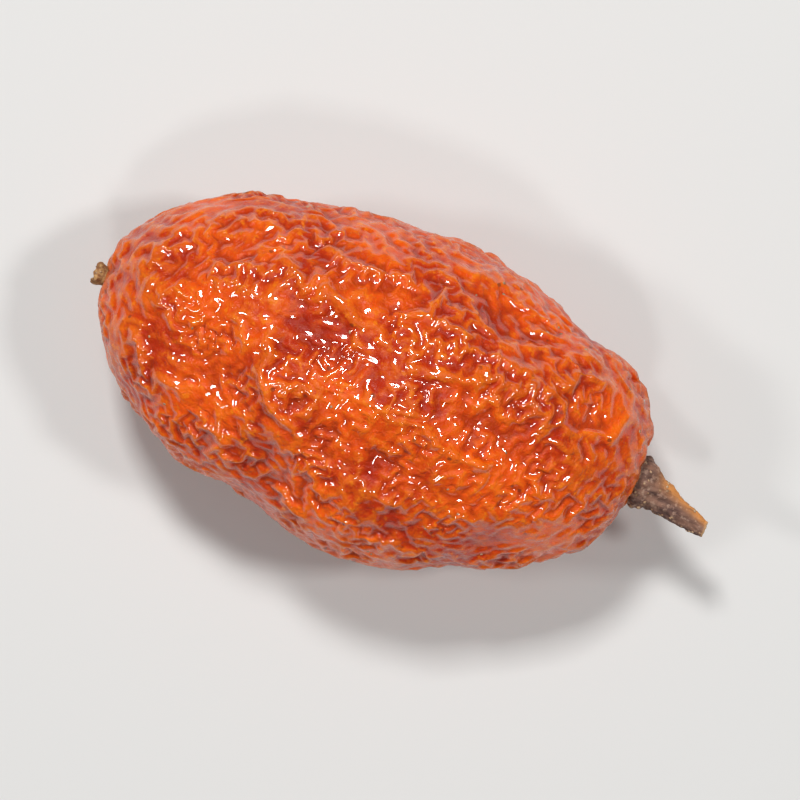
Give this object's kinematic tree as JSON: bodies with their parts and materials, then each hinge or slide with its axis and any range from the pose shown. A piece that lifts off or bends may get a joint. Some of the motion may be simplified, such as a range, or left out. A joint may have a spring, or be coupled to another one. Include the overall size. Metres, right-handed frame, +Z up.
{
  "type": "dried sea buckthorn berry",
  "caption": "Wrinkled, oval dried berry with its tapering stalk stub at one end and the dry flower remnant at the other, lying on its side.",
  "frame": {"origin": "bottom centre of the whole berry's box, on the surface that it rests on", "axes": "+X along the fruit towards its stalk, +Z up, +Y across the fruit"},
  "size_m": [0.0118, 0.006, 0.0048],
  "materials": {
    "berry_skin": "glossy, finely wrinkled orange-red fruit skin, slightly translucent",
    "dry_stalk": "matt, scaly greyish-brown dried stalk",
    "dry_flower": "matt, tan dried flower remnant"
  },
  "bodies": {
    "root": {"berry": "berry_skin", "stalk": "dry_stalk", "blossom_tip": "dry_flower"}
  },
  "joints": []
}
